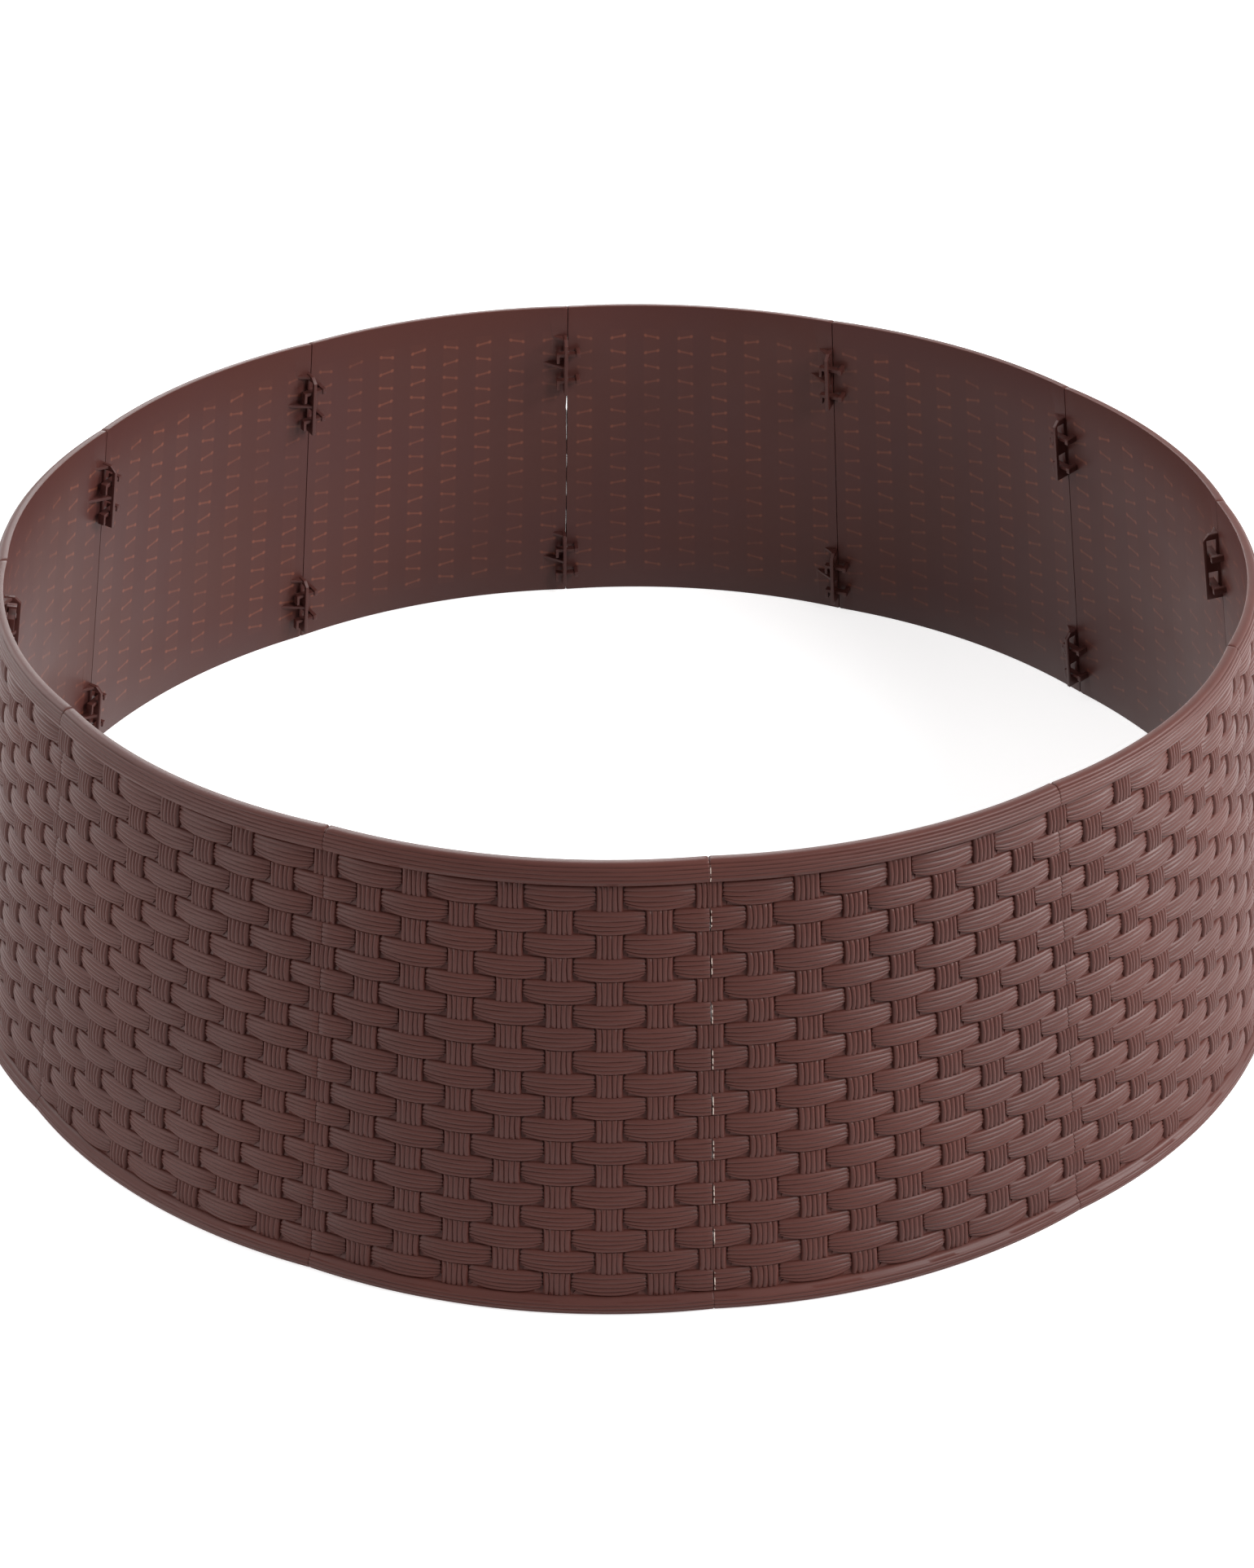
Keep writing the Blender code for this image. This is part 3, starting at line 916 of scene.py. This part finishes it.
def mould_panel(scene, gap):
    """The finished mesh of the panel between seams 0 and 1. The opening one has longer windows."""
    weave, rim, seam = scene.collar_weave, scene.collar_rim, scene.collar_seams
    net = WallNet()
    top_edge, bottom_edge = add_weave(net, weave)
    top_line = add_rim(net, rim, weave, TOP_SECTION, True, top_edge)
    bottom_line = add_rim(net, rim, weave, BOTTOM_SECTION, False, bottom_edge)
    add_inner_face(net, top_line, bottom_line)
    blank = place("panel_blank", mesh_from_net(net, seam, getattr(seam, gap)))
    opening = gap == "opening"
    room_below = TONGUE_DROP + PULL_CLEARANCE if opening else 0.0
    fittings = make_fittings(room_below, scene.collar_clips.edge)
    for finish in plastics(scene.collar_finish, opening):
        blank.data.materials.append(finish)
        fittings.data.materials.append(finish)
    combine(blank, fittings, "UNION")
    settle(blank)
    data = blank.data
    data.shade_smooth()
    data.set_sharp_from_angle(angle=radians(SHARP_ANGLE))
    bpy.data.objects.remove(blank, do_unlink=True)
    discard(fittings)
    return data


def dress_panel(number, data):
    """Turn a copy of the mesh to a panel's own place and put it on the panel's body."""
    name = f"panel_{number:02d}"
    own = data.copy()
    own.name = f"collar_{name}"
    own.transform(Matrix.Rotation((number - 1) * PANEL_ANGLE, 4, "Z"))
    item = add_item(own.name, own)
    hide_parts(name)
    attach(item, name)


def add_panels(scene, numbers, gap):
    """Mould a panel once and dress those numbers with it; gap names the setting of its first seam."""
    data = mould_panel(scene, gap)
    for number in numbers:
        dress_panel(number, data)
    bpy.data.meshes.remove(data)


class Nodes:
    """Short calls for adding and linking nodes of a material or world. Inputs go by name or number."""

    def __init__(self, owner):
        owner.use_nodes = True
        self.tree = owner.node_tree

    def feed(self, node, inputs):
        """Link sockets to a node's inputs, or set their numbers."""
        for name, value in inputs.items():
            if isinstance(value, bpy.types.NodeSocket):
                self.tree.links.new(value, node.inputs[name])
            else:
                node.inputs[name].default_value = value

    def add(self, kind, inputs=None, **values):
        """A node with its properties set and then its inputs."""
        node = self.tree.nodes.new(kind)
        for key, value in values.items():
            setattr(node, key, value)
        self.feed(node, inputs or {})
        return node

    def math(self, operation, *values):
        """A Math node."""
        return self.add("ShaderNodeMath", dict(enumerate(values)), operation=operation).outputs[0]

    def times(self, first, *others):
        """A product."""
        for value in others:
            first = self.math("MULTIPLY", first, value)
        return first

    def uv(self, layer):
        """Both coordinates of a UV layer."""
        vector = self.add("ShaderNodeUVMap", uv_map=layer).outputs[0]
        return self.add("ShaderNodeSeparateXYZ", {0: vector}).outputs[:2]

    def step(self, value, low, high):
        """0 below low, 1 above high, smooth between; low may be the larger."""
        return self.add("ShaderNodeMapRange", {"Value": value, "From Min": low, "From Max": high},
                        interpolation_type="SMOOTHSTEP").outputs["Result"]

    def noise(self, vector, scale, detail, roughness):
        """Noise in space."""
        inputs = {"Vector": vector, "Scale": scale, "Detail": detail, "Roughness": roughness}
        return self.add("ShaderNodeTexNoise", inputs).outputs["Fac"]

    def mix(self, share, first, second):
        """A colour between two colours."""
        return self.add("ShaderNodeMix", {"Factor": share, "A": first, "B": second},
                        data_type="RGBA").outputs["Result"]


def solid(colour):
    """A colour with full opacity."""
    return (*colour, 1.0)


def thin_spots(nodes):
    """Mask of the painted light through the thin spots between weavers: a slanted dash with a dot at each
    end, bay by bay.
    """
    pitch, level = nodes.uv(WALL_MAP)
    bay = nodes.math("FLOOR", pitch)
    across = nodes.math("SUBTRACT", nodes.math("SUBTRACT", pitch, bay), 0.5)
    boundary = nodes.math("ROUND", level)
    parity = nodes.math("MODULO", nodes.math("ADD", boundary, bay), 2.0)
    slant = nodes.math("MULTIPLY_ADD", parity, -2 * DASH_SLANT, DASH_SLANT)
    middle = nodes.math("MULTIPLY_ADD", across, slant, boundary)
    rise = nodes.math("ABSOLUTE", nodes.math("SUBTRACT", level, middle))
    reach = nodes.math("ABSOLUTE", across)
    dash = nodes.times(nodes.step(rise, *DASH_RISE), nodes.step(reach, *DASH_REACH), DASH_SHARE)
    end = nodes.times(nodes.math("SUBTRACT", reach, DOT_REACH), DOT_STRETCH)
    square = nodes.math("ADD", nodes.times(end, end), nodes.times(rise, rise))
    dot = nodes.times(nodes.step(nodes.math("SQRT", square), *DOT_SIZE), DOT_SHARE)
    band = nodes.times(nodes.step(reach, *BAND_REACH), BAND_SHARE)
    lit_spots = nodes.math("MAXIMUM", nodes.math("MAXIMUM", dash, dot), band)
    low_end = nodes.step(level, *LIGHT_THROUGH_FROM)
    high_end = nodes.step(level, *[WEAVER_ROWS - share for share in LIGHT_THROUGH_FROM])
    return nodes.times(lit_spots, nodes.times(low_end, high_end))


def painted_seam_light_mask(nodes, space):
    """Mask of the painted light at the opening seam: a broken pale line where weavers and the top rim end.
    """
    pitch, level = nodes.uv(WALL_MAP)
    line = nodes.times(nodes.step(pitch, *SEAM_LIGHT_WIDTH), nodes.step(pitch, *ON_WALL))
    crossed = nodes.step(nodes.math("SINE", nodes.times(level, pi)), *SEAM_LIGHT_ROWS)
    broken = nodes.step(nodes.noise(space, *SEAM_LIGHT_NOISE), *SEAM_LIGHT_BREAKS)
    return nodes.times(line, crossed, broken)


def paint_light_through(nodes, finish, colour, space):
    """The inside's colour with painted light through the thin spots of the wall, which fades here and
    there.
    """
    fade = nodes.step(nodes.noise(space, *FADE_NOISE), *FADE_STEP)
    share = nodes.times(thin_spots(nodes), nodes.math("MULTIPLY_ADD", fade, FADE_SHARE, 1 - FADE_SHARE))
    return nodes.mix(share, colour, solid(finish.mark))


def shade_reeds(nodes, finish, colour, bump):
    """The face's colour with painted shade in its reeds' grooves and fine streaks along the reeds, which
    also roughen it.
    """
    count, along = nodes.uv(REED_MAP)
    off = nodes.math("ABSOLUTE", nodes.math("SUBTRACT", count, nodes.math("ROUND", count)))
    from_middle = nodes.math("ABSOLUTE", nodes.math("SUBTRACT", count, FACE_REEDS / 2))
    # Painted shade in the grooves between reeds
    groove = nodes.times(nodes.step(off, *GROOVE_SHADE_WIDTH), nodes.step(from_middle, *OUTER_REEDS))
    colour = nodes.mix(nodes.times(groove, GROOVE_SHADE_SHARE), colour, solid(finish.groove))
    streaks = nodes.add("ShaderNodeCombineXYZ", {0: nodes.times(count, STREAKS_PER_REED), 1: along})
    fibre = nodes.noise(streaks.outputs[0], *FIBRE_NOISE)
    strands = nodes.add("ShaderNodeBump", {"Distance": finish.fibre, "Height": fibre})
    nodes.feed(bump, {"Normal": strands.outputs[0]})
    streak = nodes.times(nodes.step(fibre, *STREAK_STEP), STREAK_SHARE)
    return nodes.mix(streak, colour, solid(finish.groove))


def make_plastic(name, finish, lit_through=False, painted_seam_light=False):
    """Satin brown plastic. The inside one shows painted light through the wall's thin spots, the one for
    the opening a pale line of painted light along its seam edge.
    """
    material = bpy.data.materials.new(name)
    nodes = Nodes(material)
    space = nodes.add("ShaderNodeTexCoord").outputs["Object"]
    drift = nodes.step(nodes.noise(space, *DRIFT_NOISE), *DRIFT_STEP)
    plain, drifted = (finish.inside, finish.colour) if lit_through else (finish.colour, finish.warm)
    colour = nodes.mix(drift, solid(plain), solid(drifted))
    speckle = nodes.times(nodes.noise(space, *SPECK_NOISE), SPECK_SHARE)
    colour = nodes.mix(speckle, colour, solid(finish.speck))
    grain = nodes.noise(space, *GRAIN_NOISE)
    bump = nodes.add("ShaderNodeBump", {"Distance": finish.grain, "Height": grain})
    # The inside gets painted light through the wall's thin spots
    if lit_through:
        colour = paint_light_through(nodes, finish, colour, space)
    else:
        colour = shade_reeds(nodes, finish, colour, bump)
    # A pale line of painted light along the opening seam's edge
    if painted_seam_light:
        colour = nodes.mix(painted_seam_light_mask(nodes, space), colour, solid(finish.painted_seam_light))
    smudge = nodes.noise(space, *SMUDGE_NOISE)
    lowest = finish.roughness - SMUDGE_RANGE / 2
    nodes.feed(nodes.tree.nodes["Principled BSDF"], {
        "Base Color": colour,
        "Roughness": nodes.math("MULTIPLY_ADD", smudge, SMUDGE_RANGE, lowest),
        "IOR": PLASTIC_IOR,
        "Specular IOR Level": finish.gloss,
        "Normal": bump.outputs[0],
    })
    return material


def plastics(finish, painted_seam_light):
    """The two finishes of a panel, made once: its face, and its inside with the clips."""
    # The face beside the opening seam carries the painted light along its edge
    face = "plastic_face_worn" if painted_seam_light else "plastic_face"
    inside = "plastic_inside"
    return (bpy.data.materials.get(face) or make_plastic(face, finish, painted_seam_light=painted_seam_light),
            bpy.data.materials.get(inside) or make_plastic(inside, finish, lit_through=True))


class COLLAR_OT_add_panels(Operator):
    """Mould the panels that are alike and hang them on their bodies"""

    bl_idname = "collar.add_panels"
    bl_label = "Add panels"

    def execute(self, context):
        numbers = [number for number in range(2, PANEL_COUNT + 1) if number != LOOSE_PANEL]
        add_panels(context.scene, numbers, "crossed")
        return {"FINISHED"}


class COLLAR_OT_add_loose_panel(Operator):
    """Mould the panel behind, whose first seam stands a little open"""

    bl_idname = "collar.add_loose_panel"
    bl_label = "Add loose panel"

    def execute(self, context):
        add_panels(context.scene, [LOOSE_PANEL], "rear")
        return {"FINISHED"}


class COLLAR_OT_add_opening_panel(Operator):
    """Mould panel 1, beside the opening seam, with the longer windows"""

    bl_idname = "collar.add_opening_panel"
    bl_label = "Add opening panel"

    def execute(self, context):
        add_panels(context.scene, [1], "opening")
        return {"FINISHED"}


def seen_directly(nodes):
    """1 for what the camera sees, straight or by way of gloss or clear material, else 0."""
    path = nodes.add("ShaderNodeLightPath")
    indirect = nodes.math("MAXIMUM", path.outputs["Is Glossy Ray"], path.outputs["Is Transmission Ray"])
    return nodes.math("MAXIMUM", path.outputs["Is Camera Ray"], indirect)


def make_floor(stage):
    """A wide pale floor that the camera sees as white, but for the object's soft shadow."""
    mesh = bmesh.new()
    bmesh.ops.create_grid(mesh, x_segments=2, y_segments=2, size=FLOOR_HALF)
    floor = place("studio_floor", mesh)
    floor.location.z = -FLOOR_DROP
    material = bpy.data.materials.new("studio_floor")
    nodes = Nodes(material)
    nodes.feed(nodes.tree.nodes["Principled BSDF"], {
        "Base Color": solid(stage.floor),
        "Roughness": FLOOR_ROUGHNESS,
        "Specular IOR Level": FLOOR_SPECULAR,
        "Emission Color": (1, 1, 1, 1),
        "Emission Strength": nodes.times(seen_directly(nodes), stage.glow),
    })
    floor.data.materials.append(material)


def make_surround(scene, stage):
    """White surroundings: plain light for the object, full white where they are seen directly."""
    world = bpy.data.worlds.new("studio_surround")
    scene.world = world
    nodes = Nodes(world)
    strength = nodes.math("MULTIPLY_ADD", seen_directly(nodes), 1 - stage.surround, stage.surround)
    nodes.feed(nodes.tree.nodes["Background"], {"Color": (1, 1, 1, 1), "Strength": strength})


def add_lamp(name, power, size, spot):
    """A square soft light that points at the object."""
    data = bpy.data.lights.new(name, "AREA")
    data.energy = power
    data.size = size
    lamp = add_item(name, data)
    lamp.location = spot
    lamp.rotation_euler = (Vector(LIT_POINT) - Vector(spot)).to_track_quat("-Z", "Y").to_euler()


def add_camera(scene, stage):
    """The camera of the catalogue view, slightly left of the front seam and above the ring."""
    data = bpy.data.cameras.new("catalogue_view")
    data.lens = stage.lens
    camera = add_item("catalogue_view", data)
    camera.location = CAMERA_PLACE
    camera.rotation_euler = [radians(angle) for angle in CAMERA_DEGREES]
    scene.camera = camera


class COLLAR_OT_add_stage(Operator):
    """Set the floor, the white surroundings, the soft lights and the camera"""

    bl_idname = "collar.add_stage"
    bl_label = "Add stage"

    def execute(self, context):
        scene = context.scene
        stage = scene.collar_stage
        make_floor(stage)
        make_surround(scene, stage)
        for setting, (size, spot) in LAMPS.items():
            add_lamp(f"{setting}_light", getattr(stage, setting), size, spot)
        add_camera(scene, stage)
        scene.view_settings.view_transform = "Standard"
        return {"FINISHED"}


class COLLAR_PT_sidebar(Panel):
    """Sizes, finish and stage of the collar"""

    bl_idname = "COLLAR_PT_sidebar"
    bl_label = "Woven tree collar"
    bl_space_type = "VIEW_3D"
    bl_region_type = "UI"
    bl_category = "Collar"

    def draw(self, context):
        scene = context.scene
        for name in GROUPS:
            group = getattr(scene, name)
            box = self.layout.box()
            for key in group.bl_rna.properties.keys():
                if key not in ("rna_type", "name"):
                    box.prop(group, key)
        for operator in OPERATORS:
            self.layout.operator(operator.bl_idname)


GROUPS = {
    "collar_weave": WeaveSettings,
    "collar_seams": SeamSettings,
    "collar_rim": RimSettings,
    "collar_clips": ClipSettings,
    "collar_finish": FinishSettings,
    "collar_stage": StageSettings,
}
OPERATORS = (COLLAR_OT_add_opening_panel, COLLAR_OT_add_panels, COLLAR_OT_add_loose_panel,
             COLLAR_OT_add_stage)


def register():
    """Register the classes and hang the settings on the scene."""
    for group in GROUPS.values():
        bpy.utils.register_class(group)
    for name, group in GROUPS.items():
        setattr(bpy.types.Scene, name, PointerProperty(type=group))
    for operator in OPERATORS:
        bpy.utils.register_class(operator)
    bpy.utils.register_class(COLLAR_PT_sidebar)


def unregister():
    """Take everything back."""
    bpy.utils.unregister_class(COLLAR_PT_sidebar)
    for operator in reversed(OPERATORS):
        bpy.utils.unregister_class(operator)
    for name, group in GROUPS.items():
        delattr(bpy.types.Scene, name)
        bpy.utils.unregister_class(group)


def main():
    """Register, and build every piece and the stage."""
    register()
    bpy.ops.collar.add_opening_panel()
    bpy.ops.collar.add_panels()
    bpy.ops.collar.add_loose_panel()
    bpy.ops.collar.add_stage()


if __name__ == "__main__":
    main()
